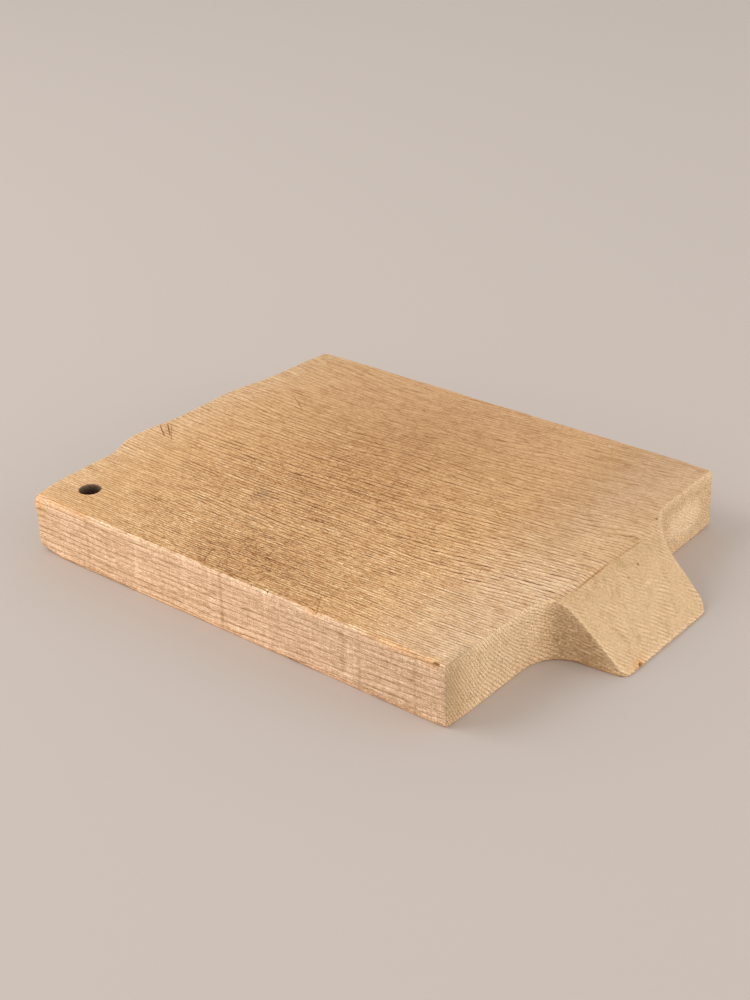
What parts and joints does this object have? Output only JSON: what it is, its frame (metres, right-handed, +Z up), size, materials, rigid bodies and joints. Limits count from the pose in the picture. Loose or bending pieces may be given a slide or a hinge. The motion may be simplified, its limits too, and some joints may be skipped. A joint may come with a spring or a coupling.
{
  "type": "chopping board",
  "caption": "Thick rectangular chopping board cut from one oak plank, with a short sloping handle at one end and a hanging hole in a corner of the other.",
  "frame": {"origin": "middle of the underside of the whole board, handle included", "axes": "+X along the grain, from the end with the hanging hole towards the handle; +Y across the board, away from the long edge that the hole is near; +Z up, out of the cutting face"},
  "size_m": [0.357, 0.253, 0.037],
  "materials": {
    "oak": "worn, unsealed oak with open pores"
  },
  "bodies": {
    "root": {"board": "oak"}
  },
  "joints": []
}
